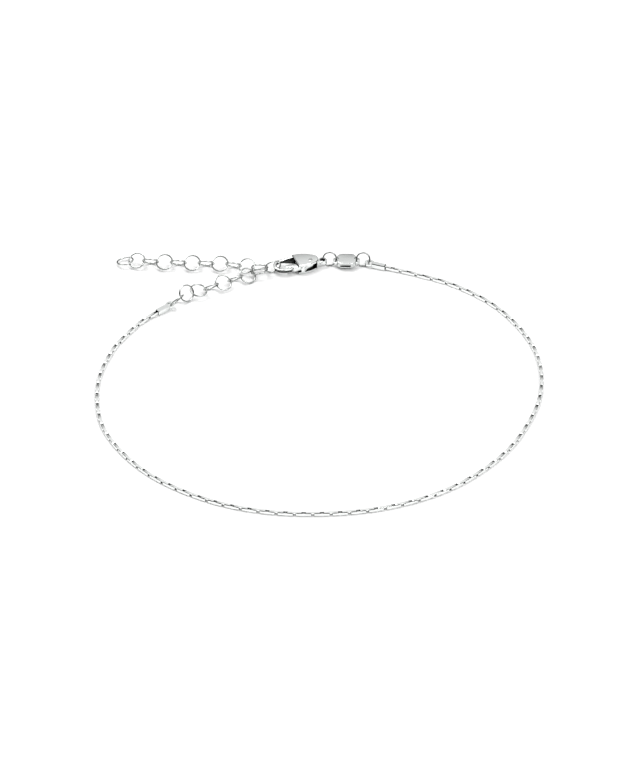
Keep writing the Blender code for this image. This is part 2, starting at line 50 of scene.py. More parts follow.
MM = 0.001
SHADE_MARK = "painted_shade_mark"
Point2 = tuple[float, float]
Point3 = tuple[float, float, float]


class Body(Enum):
    """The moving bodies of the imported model."""

    ANKLET = "anklet"
    LEVER = "lever"


class Slot(Enum):
    """The material slots of the record."""

    CHAIN = "chain_metal"
    LINK = "link_metal"
    CLASP = "clasp_metal"
    PLATE = "plate_metal"


class Cut(Enum):
    """The ways in which one shape changes another."""

    JOIN = "UNION"
    REMOVE = "DIFFERENCE"


class Graph:
    """A node tree that is built step by step."""

    def __init__(self, tree: bpy.types.NodeTree) -> None:
        """Work on a tree."""
        self.tree = tree

    def feed(self, socket: NodeSocket, source: object) -> None:
        """Give a socket its source.

        Args:
            socket: The input socket.
            source: A node, whose first output is taken, an output, or a value.
        """
        if isinstance(source, Node):
            source = source.outputs[0]
        if isinstance(source, NodeSocket):
            self.tree.links.new(source, socket)
        else:
            socket.default_value = source

    def node(self, kind: str, inputs: dict[str | int, object] | None = None, **settings: object) -> Node:
        """Add a node.

        Args:
            kind: The node's type.
            inputs: The source of each input, as feed takes it.
            settings: Properties of the node.

        Returns:
            The node.
        """
        made = self.tree.nodes.new(kind)
        for key, value in settings.items():
            setattr(made, key, value)
        for key, source in (inputs or {}).items():
            self.feed(made.inputs[key], source)
        return made

    def mapped(self, value: object, before: Point2, after: Point2 = (0.0, 1.0)) -> Node:
        """Map a value from the range before to the range after."""
        ends = {"From Min": before[0], "From Max": before[1], "To Min": after[0], "To Max": after[1]}
        return self.node("ShaderNodeMapRange", {**ends, "Value": value})

    def mixed(self, factor: object, first: object, second: object, blend: str = "MIX") -> NodeSocket:
        """Mix two colours, with factor as the share of the second."""
        colours = {"Factor": factor, "A": first, "B": second}
        return self.node("ShaderNodeMix", colours, data_type="RGBA", blend_type=blend).outputs["Result"]


@dataclass(frozen=True)
class PolishedMetal:
    """White metal with a jeweller's polish: faint rouge haze, hairlines and soft edge wear, with painted shade in
    narrow crevices and on marked faces.

    Attributes:
        name: Name of the material.
        tint: Colour of the metal.
        gloss: Roughness of the best polished spots.
        haze: Roughness added where the polish is cloudy.
        cloud: Size of the cloudy patches in metres.
        cloud_detail: Detail of their noise.
        cloud_range: Noise at which the polish is clear, and cloudy.
        wear: How much brighter the rubbed edges are.
        worn_edge: Pointiness at which an edge begins to be rubbed, and is bright.
        shade_reach: How far apart two walls of the same piece may be to get painted shade between them.
        open_samples: Number of rays that measure the open sky.
        open_share: Share of open sky at which a wall is fully in painted shade, and free of it.
        shade_colour: Colour painted as shade in narrow crevices and on the faces marked for painted shade.
        hairline: Depth of the hairlines in metres.
        hairline_strength: Strength of their relief.
        hairline_scale: Number of them on a metre, along their own direction.
        hairline_detail: Detail of their noise.
        hairline_turn: Turns that give their direction, in radians.
        hairline_stretch: How much closer they are on each axis.
    """

    name: str
    tint: Point3 = (0.81, 0.83, 0.82)
    gloss: float = 0.05
    haze: float = 0.08
    cloud: float = 0.9 * MM
    cloud_detail: float = 3.0
    cloud_range: Point2 = (0.35, 0.75)
    wear: float = 0.05
    worn_edge: Point2 = (0.5, 0.62)
    shade_reach: float = 0.5 * MM
    open_samples: int = 8
    open_share: Point2 = (0.25, 0.80)
    shade_colour: Point3 = (0.05, 0.052, 0.05)
    hairline: float = 0.002 * MM
    hairline_strength: float = 0.25
    hairline_scale: float = 0.5 / MM
    hairline_detail: float = 4.0
    hairline_turn: Point3 = (0.3, 0.2, 0.7)
    hairline_stretch: Point3 = (1.0, 14.0, 14.0)

    def material(self) -> Material:
        """Build the material.

        Returns:
            The new material.
        """
        mat = bpy.data.materials.new(self.name)
        mat.use_nodes = True
        graph = Graph(mat.node_tree)
        shader = mat.node_tree.nodes["Principled BSDF"]
        graph.feed(shader.inputs["Metallic"], 1.0)
        place = graph.node("ShaderNodeTexCoord").outputs["Object"]

        patches = graph.node("ShaderNodeTexNoise", {
            "Vector": place, "Scale": 1.0 / self.cloud, "Detail": self.cloud_detail})
        polish = graph.mapped(patches, self.cloud_range, (self.gloss, self.gloss + self.haze))
        graph.feed(shader.inputs["Roughness"], polish)

        edge = graph.node("ShaderNodeNewGeometry").outputs["Pointiness"]
        bright = tuple(min(1.0, c + self.wear) for c in self.tint)
        worn = graph.mixed(graph.mapped(edge, self.worn_edge), (*self.tint, 1.0), (*bright, 1.0))

        # Painted shade: faces close to other walls of the same piece are darkened towards the shade colour.
        shade_probe = graph.node("ShaderNodeAmbientOcclusion", {"Distance": self.shade_reach},
                               only_local=True, samples=self.open_samples)
        crevice_shade = graph.mapped(shade_probe.outputs["AO"], self.open_share, (1.0, 0.0))
        # Painted shade on the marked faces, read from their attribute, joined with the crevice shade.
        inner = graph.node("ShaderNodeAttribute", attribute_name=SHADE_MARK)
        painted_shade_mask = graph.node("ShaderNodeMath", {0: crevice_shade, 1: inner.outputs["Fac"]}, operation="MAXIMUM")
        graph.feed(shader.inputs["Base Color"], graph.mixed(painted_shade_mask, worn, (*self.shade_colour, 1.0)))

        stretch = graph.node("ShaderNodeMapping", {
            "Vector": place, "Rotation": self.hairline_turn, "Scale": self.hairline_stretch})
        hairs = graph.node("ShaderNodeTexNoise", {
            "Vector": stretch, "Scale": self.hairline_scale, "Detail": self.hairline_detail})
        bump = graph.node("ShaderNodeBump", {
            "Height": hairs, "Strength": self.hairline_strength, "Distance": self.hairline})
        graph.feed(shader.inputs["Normal"], bump)
        return mat


@dataclass(frozen=True)
class PaleCard:
    """The matt pale card that the anklet lies on."""

    name: str = "pale_card"
    tint: Point3 = (0.93, 0.93, 0.93)
    roughness: float = 0.6
    specular: float = 0.2

    def material(self) -> Material:
        """Build the material.

        Returns:
            The new material.
        """
        mat = bpy.data.materials.new(self.name)
        mat.use_nodes = True
        inputs = mat.node_tree.nodes["Principled BSDF"].inputs
        inputs["Base Color"].default_value = (*self.tint, 1.0)
        inputs["Roughness"].default_value = self.roughness
        inputs["Specular IOR Level"].default_value = self.specular
        return mat


def arc(centre: Point2, radius: float, start: float, end: float, sides: int = 72) -> list[Point2]:
    """List the points of an arc.

    Args:
        centre: Centre of the arc.
        radius: Radius of the arc.
        start: First angle in degrees.
        end: Last angle in degrees.
        sides: Number of sides that a whole turn would have.

    Returns:
        The points from start to end, both ends included.
    """
    steps = max(1, ceil(abs(end - start) / 360.0 * sides))
    angles = [radians(start + (end - start) * i / steps) for i in range(steps + 1)]
    return [(centre[0] + radius * cos(a), centre[1] + radius * sin(a)) for a in angles]


def corners_of(outline: list[Point2]) -> list[tuple[Vector, Vector, Vector]]:
    """List each corner of a closed outline with the one before it and the one after it."""
    spots = [Vector(point) for point in outline]
    return list(zip(spots, spots[-1:] + spots[:-1], spots[1:] + spots[:1]))


def rounded_corners(outline: list[Point2], radii: list[float], steps: int) -> list[Point2]:
    """Round the corners of a closed outline.

    Args:
        outline: The corners in order.
        radii: The radius wanted at each corner, cut down where a side is too short.
        steps: Number of short sides put in each rounded corner.

    Returns:
        The outline with its corners rounded.
    """
    result: list[Point2] = []
    for (spot, back, ahead), radius in zip(corners_of(outline), radii):
        before, after = back - spot, ahead - spot
        half = before.angle(after) / 2
        reach = min(radius * cos(half) / sin(half), before.length * 0.49, after.length * 0.49)
        a, b = spot + before.normalized() * reach, spot + after.normalized() * reach
        for k in range(steps + 1):
            t = k / steps
            p = a * (1 - t) ** 2 + spot * 2 * t * (1 - t) + b * t * t
            result.append((p.x, p.y))
    return result


def inset_outline(outline: list[Point2], inset: float) -> list[Point2]:
    """Move every side of a counter-clockwise outline inwards.

    Args:
        outline: The outline.
        inset: How far.

    Returns:
        The smaller outline, with as many points.
    """
    moved = []
    for spot, back, ahead in corners_of(outline):
        first, second = ((end - start).normalized() for start, end in ((back, spot), (spot, ahead)))
        normal = (first.orthogonal() + second.orthogonal()).normalized()
        share = max(normal.dot(first.orthogonal()), 0.35)
        moved.append(tuple(spot + normal * (inset / share)))
    return moved


def smooth_route(points: list[Vector], steps: int = 40) -> list[Vector]:
    """Give close points of a smooth curve through the chosen ones.

    Args:
        points: The points that the curve goes through.
        steps: Number of points between two of them.

    Returns:
        The points of the curve.
    """
    ends = [points[0] * 2 - points[1], *points, points[-1] * 2 - points[-2]]
    curve = []
    for a, b, c, d in zip(ends, ends[1:], ends[2:], ends[3:]):
        for i in range(steps):
            t = i / steps
            curve.append(0.5 * (2 * b + (c - a) * t + (2 * a - 5 * b + 4 * c - d) * t * t
                                + (3 * b - a - 3 * c + d) * t ** 3))
    curve.append(points[-1].copy())
    return curve


def along(curve: list[Vector], pitch: float, count: int) -> list[Vector]:
    """Walk a curve in straight steps of one pitch.

    Args:
        curve: Close points of the curve.
        pitch: Length of a step.
        count: Number of places wanted.

    Returns:
        The places, the curve's first point among them.
    """
    places = [curve[0].copy()]
    at = 0
    while len(places) < count:
        while at < len(curve) - 1 and (curve[at] - places[-1]).length < pitch:
            at += 1
        before, after = curve[at - 1], curve[at]
        low, high = (before - places[-1]).length, (after - places[-1]).length
        places.append(before.lerp(after, (pitch - low) / max(high - low, 1e-9)))
    return places


def heading_of(direction: Vector) -> tuple[float, float]:
    """Give the heading and slope of a direction in degrees."""
    return degrees(atan2(direction.y, direction.x)), degrees(atan2(direction.z, hypot(direction.x, direction.y)))


def place_frame(centre: Vector, heading: float, slope: float = 0.0, tilt: float = 0.0) -> Matrix:
    """Give the matrix of a piece whose X axis points along heading and slope, rolled by tilt, in degrees."""
    return (Matrix.Translation(centre) @ Matrix.Rotation(radians(heading), 4, "Z")
            @ Matrix.Rotation(radians(-slope), 4, "Y") @ Matrix.Rotation(radians(tilt), 4, "X"))


class Bench:
    """Makes, cuts and finishes mesh objects."""

    barrel_sides = 40
    weld = 0.0002 * MM

    @staticmethod
    def put(name: str, data: ID) -> Object:
        """Put a mesh, curve, lamp or camera in the scene.

        Args:
            name: Name of the object.
            data: What it shows.

        Returns:
            The object, at the origin.
        """
        obj = bpy.data.objects.new(name, data)
        bpy.context.scene.collection.objects.link(obj)
        return obj

    @staticmethod
    def solid(name: str, bm: bmesh.types.BMesh) -> Mesh:
        """Turn a finished bmesh into a mesh.

        Args:
            name: Name of the mesh.
            bm: The bmesh, which is freed.

        Returns:
            The mesh.
        """
        mesh = bpy.data.meshes.new(name)
        bm.to_mesh(mesh)
        bm.free()
        return mesh

    @staticmethod
    def take(obj: Object) -> Mesh:
        """Turn an object's evaluated shape into a plain mesh and remove the object.

        Args:
            obj: The object with its live modifiers.

        Returns:
            The finished mesh.
        """
        bpy.context.view_layer.update()
        depsgraph = bpy.context.evaluated_depsgraph_get()
        mesh = bpy.data.meshes.new_from_object(obj.evaluated_get(depsgraph))
        bpy.data.objects.remove(obj, do_unlink=True)
        return mesh

    @classmethod
    def prism(cls, outline: list[Point2], low: float, high: float, edge: float, segments: int = 3) -> Mesh:
        """Make a solid of a flat outline, with its long edges rounded.

        Args:
            outline: The outline, counter-clockwise.
            low: Height of the underside.
            high: Height of the top.
            edge: Width of the rounded edges.
            segments: Number of steps in a rounded edge.

        Returns:
            The mesh of the solid.
        """
        turns = [pi / 2 * k / segments for k in range(segments + 1)]
        steps = [(edge * (1 - sin(turn)), edge * (1 - cos(turn))) for turn in turns]
        stack = [(inset, low + rise) for inset, rise in steps]
        stack += [(inset, high - rise) for inset, rise in reversed(steps)]
        bm = bmesh.new()
        rings = [[bm.verts.new((x, y, height)) for x, y in inset_outline(outline, inset)] for inset, height in stack]
        for lower, upper in zip(rings, rings[1:]):
            for i in range(len(outline)):
                bm.faces.new((lower[i - 1], lower[i], upper[i], upper[i - 1]))
        bm.faces.new(reversed(rings[0]))
        bm.faces.new(rings[-1])
        bmesh.ops.recalc_face_normals(bm, faces=bm.faces)
        return cls.solid("prism", bm)

    @classmethod
    def barrel(cls, diameter: float, height: float, centre: Point3 = (0.0, 0.0, 0.0)) -> Mesh:
        """Make an upright cylinder.

        Args:
            diameter: Its diameter.
            height: Its height.
            centre: Its centre.

        Returns:
            The mesh.
        """
        bm = bmesh.new()
        bmesh.ops.create_cone(bm, cap_ends=True, segments=cls.barrel_sides, radius1=diameter / 2,
                              radius2=diameter / 2, depth=height, matrix=Matrix.Translation(centre))
        return cls.solid("barrel", bm)

    @classmethod
    def block(cls, low: Point3, high: Point3) -> Mesh:
        """Make a box.

        Args:
            low: Its lowest corner.
            high: Its highest corner.

        Returns:
            The mesh.
        """
        middle = [(a + b) / 2 for a, b in zip(low, high)]
        size = [b - a for a, b in zip(low, high)]
        bm = bmesh.new()
        bmesh.ops.create_cube(bm, size=1.0, matrix=Matrix.Translation(middle) @ Matrix.Diagonal((*size, 1.0)))
        return cls.solid("block", bm)

    @classmethod
    def combine(cls, mesh: Mesh, steps: list[tuple[Cut, Mesh]]) -> Mesh:
        """Join shapes to a mesh and cut others away, in order.

        Args:
            mesh: The first shape.
            steps: What to do with each further shape.

        Returns:
            The mesh of the result.
        """
        obj = cls.put("work", mesh)
        others = []
        for cut, shape in steps:
            other = cls.put("tool", shape)
            others.append(other)
            modifier = obj.modifiers.new(cut.value, "BOOLEAN")
            modifier.operation = cut.value
            modifier.solver = "EXACT"
            modifier.object = other
        result = cls.take(obj)
        for other in others:
            bpy.data.objects.remove(other, do_unlink=True)
        return result

    @staticmethod
    def paint_shade_marks(mesh: Mesh, gets_shade: Callable[[Vector, Vector], bool], share: float = 1.0) -> None:
        """Mark the faces that get painted shade.

        Args:
            mesh: The mesh in its own frame.
            gets_shade: Says from a face's middle and normal whether it is such a face.
            share: How strong the painted shade is on such a face.
        """
        # The mark paints shade: the material darkens marked faces towards its shade colour.
        marks = mesh.attributes.new(SHADE_MARK, "FLOAT", "FACE")
        for face, mark in zip(mesh.polygons, marks.data):
            mark.value = share if gets_shade(face.center, face.normal) else 0.0

    @classmethod
    def finish(cls, name: str, mesh: Mesh, matrix: Matrix, material: Material,
               body: Body, slot: Slot, nodes: list[str], crease: float = 40.0) -> Object:
        """Args:
            name: Name of the piece.
            mesh: Its mesh in its own frame.
            matrix: Where its own frame is.
            material: Its finish.
            body: The body that it moves with.
            slot: The record's material slot; not used.
            nodes: The nodes that it stands for.
            crease: Angle in degrees above which an edge stays sharp.

        Returns:
            The piece.
        """
        bm = bmesh.new()
        bm.from_mesh(mesh)
        bmesh.ops.remove_doubles(bm, verts=bm.verts, dist=cls.weld)
        bmesh.ops.transform(bm, matrix=matrix, verts=bm.verts)
        bm.to_mesh(mesh)
        bm.free()
        mesh.materials.clear()
        mesh.materials.append(material)
        mesh.shade_smooth()
        mesh.set_sharp_from_angle(angle=radians(crease))
        obj = cls.put(name, mesh)
        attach(obj, body.value)
        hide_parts(*nodes)
        LOG.info("%s: %d faces on %s", name, len(mesh.polygons), body.value)
        return obj


class NodeTree(Graph):
    """A Geometry Nodes tree with named inputs."""

    def __init__(self, name: str, inputs: dict[str, float | int]) -> None:
        """Start a tree.

        Args:
            name: Name of the tree.
            inputs: Value of each named input.
        """
        super().__init__(bpy.data.node_groups.new(name, "GeometryNodeTree"))
        self.values = {}
        sockets = self.tree.interface
        sockets.new_socket("Geometry", in_out="INPUT", socket_type="NodeSocketGeometry")
        for label, value in inputs.items():
            kind = "NodeSocketInt" if isinstance(value, int) else "NodeSocketFloat"
            self.values[sockets.new_socket(label, in_out="INPUT", socket_type=kind).identifier] = value
        sockets.new_socket("Geometry", in_out="OUTPUT", socket_type="NodeSocketGeometry")
        self.start = self.node("NodeGroupInput")
        self.end = self.node("NodeGroupOutput")

    def feed(self, socket: NodeSocket, source: object) -> None:
        """Give a socket its source, which may be the name of one of the tree's inputs."""
        super().feed(socket, self.start.outputs[source] if isinstance(source, str) else source)

    def close(self, geometry: Node, material: Material) -> None:
        """End the tree with realized instances and a material.

        Args:
            geometry: The node that makes the instances.
            material: Their finish.
        """
        real = self.node("GeometryNodeRealizeInstances", {"Geometry": geometry})
        dressed = self.node("GeometryNodeSetMaterial", {"Geometry": real, "Material": material})
        self.feed(self.end.inputs["Geometry"], dressed)

    def run(self, obj: Object) -> Mesh:
        """Put the tree on an object and take the mesh that it makes.

        Args:
            obj: The object that carries the points or the path.

        Returns:
            The mesh.
        """
        modifier = obj.modifiers.new("pattern", "NODES")
        modifier.node_group = self.tree
        for identifier, value in self.values.items():
            modifier[identifier] = value
        return Bench.take(obj)


@dataclass
class Layout:
    """The places of the pieces: headings in degrees, and centres in millimetres.

    The hook and the left eye are placed in the design's frame, the plate and the right eye from the clasp's eye.
    The shift leads from the design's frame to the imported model's, in metres.
    """

    shift: Vector = field(default_factory=Vector)
    hook: Point2 = (-6.75, 36.68)
    clasp_heading: float = 13.0
    clasp_eye_reach: float = 7.4 * MM
    plate: Point3 = (4.46, 0.105, 1.0)
    right_eye: Point2 = (8.69, -0.195)
    right_heading: float = 158.0
    left_eye: Point2 = (-27.35, 24.2)
    left_heading: float = 43.0

    def at(self, x: float, y: float, z: float = 0.0) -> Vector:
        """Give a design point, written in millimetres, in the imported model's frame."""
        return Vector((x, y, z)) * MM + self.shift

    def clasp(self) -> Matrix:
        """Give the clasp's frame."""
        return place_frame(self.at(*self.hook), self.clasp_heading)

    def from_clasp_eye(self, x: float, y: float, z: float = 0.0) -> Vector:
        """Give the place that lies x, y from the clasp's eye and z up, in millimetres."""
        return self.clasp() @ Vector((self.clasp_eye_reach, 0.0, 0.0)) + Vector((x, y, z)) * MM


@dataclass
class Piece:
    """A piece of the anklet, with the layout that it fits and its finish."""

    layout: Layout
    finish: PolishedMetal


@dataclass
class FineChain(Piece):
    """The fine box chain: loops of flat strip, every second one turned a quarter turn."""

    section: float = 0.68 * MM
    pitch: float = 1.56 * MM
    link_length: float = 2.8 * MM
    strip: float = 0.11 * MM
    strip_width: float = 0.44 * MM
    end_round: float = 0.25 * MM
    bend_steps: int = 3
    crease: float = 50.0
    cap_height: float = 1.0 * MM
    cap_length: float = 2.6 * MM
    bore_depth: float = 1.7 * MM
    end_play: float = 0.12 * MM
    cap_eye_offset: float = 1.9 * MM
    mouth_rise: float = 0.35
    route: tuple[Point2, ...] = (
        (14.6, 36.1), (18.2, 34.6), (24.5, 31.3), (31.0, 25.5), (35.7, 18.2), (38.6, 10.4), (39.5, 2.2),
        (38.7, -5.7), (36.3, -13.2), (32.9, -20.2), (28.1, -26.5), (22.3, -31.8), (15.4, -35.7),
        (7.9, -38.1), (0.0, -39.0), (-8.0, -38.6), (-15.8, -36.6), (-23.1, -32.8), (-29.5, -27.6),
        (-34.5, -21.1), (-38.0, -13.8), (-39.4, -5.8), (-39.2, 2.2), (-37.3, 10.0), (-35.4, 14.2),
        (-32.6, 18.9))

    def cap_frame(self, eye: Vector, heading: float) -> Matrix:
        """Give a cap's frame from the place of its eye and its heading."""
        return place_frame(eye, heading) @ Matrix.Translation((-self.cap_eye_offset, 0.0, 0.0))

    def places(self) -> list[Vector]:
        """Work out where the middle of each link is.

        Returns:
            The places from the right cap to the left one.
        """
        floor, inside = self.section / 2, self.cap_height / 2
        end_x = self.bore_depth - self.cap_length / 2 - self.link_length / 2 - self.end_play
        mouth_x = -self.cap_length / 2 - self.section / 2
        layout = self.layout
        right = self.cap_frame(layout.from_clasp_eye(*layout.right_eye), layout.right_heading)
        left = self.cap_frame(layout.at(*layout.left_eye), layout.left_heading)
        points = [right @ Vector((x, 0.0, inside)) for x in (end_x, mouth_x)]
        points += [layout.at(x, y, floor / MM) for x, y in self.route]
        for i in (2, -1):
            points[i].z = layout.shift.z + floor + (inside - floor) * self.mouth_rise
        points += [left @ Vector((x, 0.0, inside)) for x in (mouth_x, end_x)]
        curve = smooth_route(points)
        for point in curve:
            point.z = max(point.z, floor + layout.shift.z)
        length = sum((b - a).length for a, b in zip(curve, curve[1:]))
        return along(curve, self.pitch, int(length / self.pitch) + 1)

    def tree(self, material: Material) -> NodeTree:
        """Make the tree that lays the links along a path.

        Args:
            material: The links' finish.

        Returns:
            The tree.
        """
        made = NodeTree("box_chain", {
            "Link length": self.link_length - self.strip, "Section": self.section - self.strip, "Strip": self.strip,
            "Strip width": self.strip_width, "End round": self.end_round, "Quarter turn": -pi / 2})
        loop = made.node("GeometryNodeCurvePrimitiveQuadrilateral", {"Width": "Link length", "Height": "Section"})
        bent = made.node("GeometryNodeFilletCurve", {
            "Curve": loop, "Radius": "End round", "Count": self.bend_steps}, mode="POLY")
        flat = made.node("GeometryNodeCurvePrimitiveQuadrilateral", {"Width": "Strip", "Height": "Strip width"})
        sweep = made.node("GeometryNodeCurveToMesh", {"Curve": bent, "Profile Curve": flat})
        upright = made.node("GeometryNodeTransform", {"Geometry": sweep, "Rotation": Euler((pi / 2, 0.0, 0.0))})
        tangent = made.node("GeometryNodeInputTangent")
        turned = made.node("FunctionNodeAlignRotationToVector", {"Vector": tangent}, axis="X", pivot_axis="Z")
        sloped = made.node("FunctionNodeAlignRotationToVector", {"Rotation": turned, "Vector": tangent},
                           axis="X", pivot_axis="Y")
        number = made.node("GeometryNodeInputIndex")
        second = made.node("ShaderNodeMath", {0: number, 1: 2.0}, operation="MODULO")
        angle = made.node("ShaderNodeMath", {0: second, 1: "Quarter turn"}, operation="MULTIPLY")
        roll = made.node("FunctionNodeAxisAngleToRotation", {"Axis": (1.0, 0.0, 0.0), "Angle": angle})
        rolled = made.node("FunctionNodeRotateRotation", {"Rotation": sloped, "Rotate By": roll},
                           rotation_space="LOCAL")
        chain = made.node("GeometryNodeInstanceOnPoints", {
            "Points": "Geometry", "Instance": upright, "Rotation": rolled})
        made.close(chain, material)
        return made

    def build(self) -> Object:
        """Build the chain.

        Returns:
            The piece.
        """
        material = self.finish.material()
        curve = bpy.data.curves.new("chain_path", "CURVE")
        curve.dimensions = "3D"
        spots = self.places()
        spline = curve.splines.new("POLY")
        spline.points.add(len(spots) - 1)
        for point, spot in zip(spline.points, spots):
            point.co = (*spot, 1.0)
        mesh = self.tree(material).run(Bench.put("chain_path", curve))
        return Bench.finish("box_chain_links", mesh, Matrix.Identity(4), material, Body.ANKLET, Slot.CHAIN,
                            ["fine_chain"], self.crease)


@dataclass
class WireRings:
    """Closed rings of round wire, placed by the nodes that they stand for.

    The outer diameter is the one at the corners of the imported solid, and roundness is the share of it that a round
    ring has.
    """

    name: str
    finish: PolishedMetal
    outer: float
    wire: float
    places: dict[str, Matrix]
    sides: int = 56
    wire_sides: int = 14
    roundness: float = 0.983
    crease: float = 60.0

    def tree(self, material: Material) -> NodeTree:
        """Make the tree that puts a ring on each point.

        Args:
            material: The rings' finish.

        Returns:
            The tree.
        """
        made = NodeTree(f"{self.name}_tree", {
            "Ring radius": (self.outer - self.wire) / 2 * self.roundness, "Wire radius": self.wire / 2,
            "Sides": self.sides, "Wire sides": self.wire_sides})
        ring = made.node("GeometryNodeCurvePrimitiveCircle", {"Radius": "Ring radius", "Resolution": "Sides"})
        wire = made.node("GeometryNodeCurvePrimitiveCircle", {"Radius": "Wire radius", "Resolution": "Wire sides"})
        sweep = made.node("GeometryNodeCurveToMesh", {"Curve": ring, "Profile Curve": wire})
        turn = made.node("GeometryNodeInputNamedAttribute", data_type="FLOAT_VECTOR")
        turn.inputs["Name"].default_value = "turn"
        rotation = made.node("FunctionNodeEulerToRotation", {"Euler": turn})
        rings = made.node("GeometryNodeInstanceOnPoints", {
            "Points": "Geometry", "Instance": sweep, "Rotation": rotation})
        made.close(rings, material)
        return made

    def build(self) -> Object:
        """Build the rings.

        Returns:
            The piece.
        """
        material = self.finish.material()
        mesh = bpy.data.meshes.new(f"{self.name}_points")
        mesh.from_pydata([matrix.translation for matrix in self.places.values()], [], [])
        turns = mesh.attributes.new("turn", "FLOAT_VECTOR", "POINT")
        for item, matrix in zip(turns.data, self.places.values()):
            item.vector = Vector(matrix.to_euler("XYZ"))
        made = self.tree(material).run(Bench.put(f"{self.name}_points", mesh))
        return Bench.finish(self.name, made, Matrix.Identity(4), material, Body.ANKLET, Slot.LINK,
                            list(self.places), self.crease)


@dataclass
class Extender(Piece):
    """The extender's ring links: strand from the left cap, hooked link and free tail."""

    outer: float = 3.35 * MM
    wire: float = 0.31 * MM
    tail_slack: float = 0.15 * MM
    tail_end_slack: float = 0.25 * MM
    eye_height: float = 0.741 * MM
    crossing: dict[str, tuple[float, ...]] = field(default_factory=lambda: {
        "hooked": (-8.75, 35.6, 1.55, 14.0, 14.0, -72.0),
        "strand_7": (-11.2, 34.85, 1.05, 27.0, 6.0, -20.0),
        "strand_6": (-13.35, 33.4, 1.05, 33.0, -5.0, 35.0),
        "strand_5": (-15.6, 32.1, 1.25, 30.0, -2.0, -45.0),
        "tail_9": (-11.15, 35.25, 1.7, 2.0, 0.0, -17.0),
        "tail_10": (-13.55, 36.1, 1.45, -25.0, 3.0, 32.0),
        "tail_11": (-16.0, 36.6, 1.3, -11.0, 0.0, -47.0),
    })
    strand: tuple[tuple[float, ...], ...] = (
        (-17.8, 30.7, 1.3, 33.0), (-20.0, 29.3, 1.3, -47.0), (-22.3, 28.1, 1.3, 15.0),
        (-24.45, 26.75, 1.55, 62.0), (-26.15, 24.9, 1.3, -50.0))
    tail: tuple[Point2, ...] = (
        (-16.0, 36.6), (-18.4, 37.0), (-21.0, 37.15), (-26.1, 37.4), (-31.1, 37.8), (-33.7, 38.1),
        (-36.1, 38.7), (-38.6, 39.4))
    tail_tilts: tuple[float, ...] = (33.0, -47.0, 33.0, -47.0, 33.0, -47.0, 33.0, -5.0)

    def resting_height(self, tilt: float) -> float:
        """Give the centre height of a tilted link that touches the surface."""
        return (self.outer - self.wire) / 2 * abs(sin(radians(tilt))) + self.wire / 2

    def places(self) -> dict[str, Matrix]:
        """Work out where each link is.

        Returns:
            The frame of each link, by the name of its node.
        """
        at = self.layout.at
        placed = {key: place_frame(at(*row[:3]), *row[3:]) for key, row in self.crossing.items()}
        spots = [placed["strand_5"].translation] + [at(*row[:3]) for row in self.strand]
        spots.append(at(*self.layout.left_eye, self.eye_height / MM))
        for i, row in enumerate(self.strand, start=1):
            placed[f"strand_{5 - i}"] = place_frame(spots[i], *heading_of(spots[i - 1] - spots[i + 1]), row[3])
        rest = placed["tail_11"].translation.z
        points = [at(x, y, 0.0) for x, y in self.tail]
        for point in points:
            point.z = rest
        points[-1].z = self.resting_height(self.tail_tilts[-1]) + self.layout.shift.z
        points[-2].z = (points[-1].z + rest) / 2
        pitch = self.outer - 2 * self.wire - self.tail_slack
        last = len(self.tail_tilts)
        spots = along(smooth_route(points), pitch, last + 2)
        spots[last] = spots[last].lerp(spots[last - 1], self.tail_end_slack / pitch)
        for i, tilt in enumerate(self.tail_tilts, start=1):
            placed[f"tail_{11 + i}"] = place_frame(spots[i], *heading_of(spots[i - 1] - spots[i + 1]), tilt)
        order = [f"strand_{i}" for i in range(8)] + ["hooked"] + [f"tail_{i}" for i in range(9, 20)]
        return {f"extender_link_{number:02d}": placed[key] for number, key in enumerate(order, start=1)}

    def build(self) -> Object:
        """Build the links as one piece."""
        return WireRings("extender_rings", self.finish, self.outer, self.wire, self.places()).build()


@dataclass
class JumpRings(Piece):
    """The jump rings at both ends of the tag plate."""

    outer: float = 2.8 * MM
    wire: float = 0.3 * MM
    rows: dict[str, tuple[float, ...]] = field(default_factory=lambda: {
        "jump_ring_clasp": (1.34, 0.255, 1.33, 3.0, 9.0, 72.0),
        "jump_ring_chain": (7.54, 0.155, 1.28, 2.0, 8.0, 65.0),
    })

    def build(self) -> Object:
        """Build both rings as one piece."""
        places = {name: place_frame(self.layout.from_clasp_eye(*row[:3]), *row[3:])
                  for name, row in self.rows.items()}
        return WireRings("jump_rings", self.finish, self.outer, self.wire, places).build()


